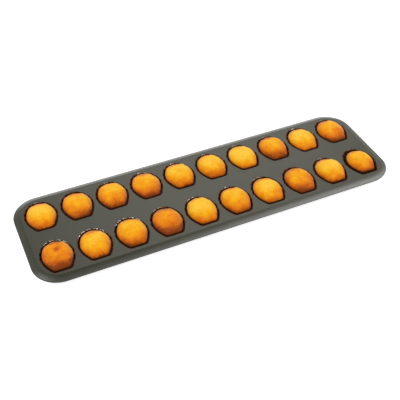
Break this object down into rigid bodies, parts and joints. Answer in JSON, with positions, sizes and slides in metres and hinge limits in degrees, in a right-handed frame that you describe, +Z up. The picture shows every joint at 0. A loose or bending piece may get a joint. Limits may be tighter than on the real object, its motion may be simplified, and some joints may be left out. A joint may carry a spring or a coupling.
{
  "type": "madeleine pan",
  "caption": "Coated steel pan with two rows of fluted shell moulds, a turned-down beaded edge and a small golden sponge cake sitting in each mould.",
  "frame": {"origin": "centre of the pan's footprint, on the surface that its mould floors stand on", "axes": "+X along the pan's long side, +Y towards the fan tips of the moulds, +Z up out of the moulds"},
  "size_m": [0.3994, 0.125, 0.0186],
  "materials": {
    "coated_steel": "dark grey non-stick coating, matte with a soft sheen",
    "sponge_light": "pale golden baked crust, fine pores",
    "sponge_golden": "golden baked crust, fine pores",
    "sponge_brown": "orange-brown baked crust, fine pores"
  },
  "bodies": {
    "pan": {"sheet": "coated_steel", "mould_01": "coated_steel", "mould_02": "coated_steel", "mould_03": "coated_steel", "mould_04": "coated_steel", "mould_05": "coated_steel", "mould_06": "coated_steel", "mould_07": "coated_steel", "mould_08": "coated_steel", "mould_09": "coated_steel", "mould_10": "coated_steel", "mould_11": "coated_steel", "mould_12": "coated_steel", "mould_13": "coated_steel", "mould_14": "coated_steel", "mould_15": "coated_steel", "mould_16": "coated_steel", "mould_17": "coated_steel", "mould_18": "coated_steel", "mould_19": "coated_steel", "mould_20": "coated_steel"},
    "madeleine_01": {"madeleine_01": "sponge_light"},
    "madeleine_02": {"madeleine_02": "sponge_golden"},
    "madeleine_03": {"madeleine_03": "sponge_golden"},
    "madeleine_04": {"madeleine_04": "sponge_brown"},
    "madeleine_05": {"madeleine_05": "sponge_light"},
    "madeleine_06": {"madeleine_06": "sponge_golden"},
    "madeleine_07": {"madeleine_07": "sponge_light"},
    "madeleine_08": {"madeleine_08": "sponge_brown"},
    "madeleine_09": {"madeleine_09": "sponge_light"},
    "madeleine_10": {"madeleine_10": "sponge_brown"},
    "madeleine_11": {"madeleine_11": "sponge_brown"},
    "madeleine_12": {"madeleine_12": "sponge_light"},
    "madeleine_13": {"madeleine_13": "sponge_golden"},
    "madeleine_14": {"madeleine_14": "sponge_brown"},
    "madeleine_15": {"madeleine_15": "sponge_light"},
    "madeleine_16": {"madeleine_16": "sponge_golden"},
    "madeleine_17": {"madeleine_17": "sponge_golden"},
    "madeleine_18": {"madeleine_18": "sponge_brown"},
    "madeleine_19": {"madeleine_19": "sponge_light"},
    "madeleine_20": {"madeleine_20": "sponge_golden"}
  },
  "joints": [
    {"name": "madeleine_01_lift", "type": "slide", "parent": "pan", "child": "madeleine_01", "axis": [0, 0, 1], "range_m": [0, 0.03]},
    {"name": "madeleine_02_lift", "type": "slide", "parent": "pan", "child": "madeleine_02", "axis": [0, 0, 1], "range_m": [0, 0.03]},
    {"name": "madeleine_03_lift", "type": "slide", "parent": "pan", "child": "madeleine_03", "axis": [0, 0, 1], "range_m": [0, 0.03]},
    {"name": "madeleine_04_lift", "type": "slide", "parent": "pan", "child": "madeleine_04", "axis": [0, 0, 1], "range_m": [0, 0.03]},
    {"name": "madeleine_05_lift", "type": "slide", "parent": "pan", "child": "madeleine_05", "axis": [0, 0, 1], "range_m": [0, 0.03]},
    {"name": "madeleine_06_lift", "type": "slide", "parent": "pan", "child": "madeleine_06", "axis": [0, 0, 1], "range_m": [0, 0.03]},
    {"name": "madeleine_07_lift", "type": "slide", "parent": "pan", "child": "madeleine_07", "axis": [0, 0, 1], "range_m": [0, 0.03]},
    {"name": "madeleine_08_lift", "type": "slide", "parent": "pan", "child": "madeleine_08", "axis": [0, 0, 1], "range_m": [0, 0.03]},
    {"name": "madeleine_09_lift", "type": "slide", "parent": "pan", "child": "madeleine_09", "axis": [0, 0, 1], "range_m": [0, 0.03]},
    {"name": "madeleine_10_lift", "type": "slide", "parent": "pan", "child": "madeleine_10", "axis": [0, 0, 1], "range_m": [0, 0.03]},
    {"name": "madeleine_11_lift", "type": "slide", "parent": "pan", "child": "madeleine_11", "axis": [0, 0, 1], "range_m": [0, 0.03]},
    {"name": "madeleine_12_lift", "type": "slide", "parent": "pan", "child": "madeleine_12", "axis": [0, 0, 1], "range_m": [0, 0.03]},
    {"name": "madeleine_13_lift", "type": "slide", "parent": "pan", "child": "madeleine_13", "axis": [0, 0, 1], "range_m": [0, 0.03]},
    {"name": "madeleine_14_lift", "type": "slide", "parent": "pan", "child": "madeleine_14", "axis": [0, 0, 1], "range_m": [0, 0.03]},
    {"name": "madeleine_15_lift", "type": "slide", "parent": "pan", "child": "madeleine_15", "axis": [0, 0, 1], "range_m": [0, 0.03]},
    {"name": "madeleine_16_lift", "type": "slide", "parent": "pan", "child": "madeleine_16", "axis": [0, 0, 1], "range_m": [0, 0.03]},
    {"name": "madeleine_17_lift", "type": "slide", "parent": "pan", "child": "madeleine_17", "axis": [0, 0, 1], "range_m": [0, 0.03]},
    {"name": "madeleine_18_lift", "type": "slide", "parent": "pan", "child": "madeleine_18", "axis": [0, 0, 1], "range_m": [0, 0.03]},
    {"name": "madeleine_19_lift", "type": "slide", "parent": "pan", "child": "madeleine_19", "axis": [0, 0, 1], "range_m": [0, 0.03]},
    {"name": "madeleine_20_lift", "type": "slide", "parent": "pan", "child": "madeleine_20", "axis": [0, 0, 1], "range_m": [0, 0.03]}
  ]
}
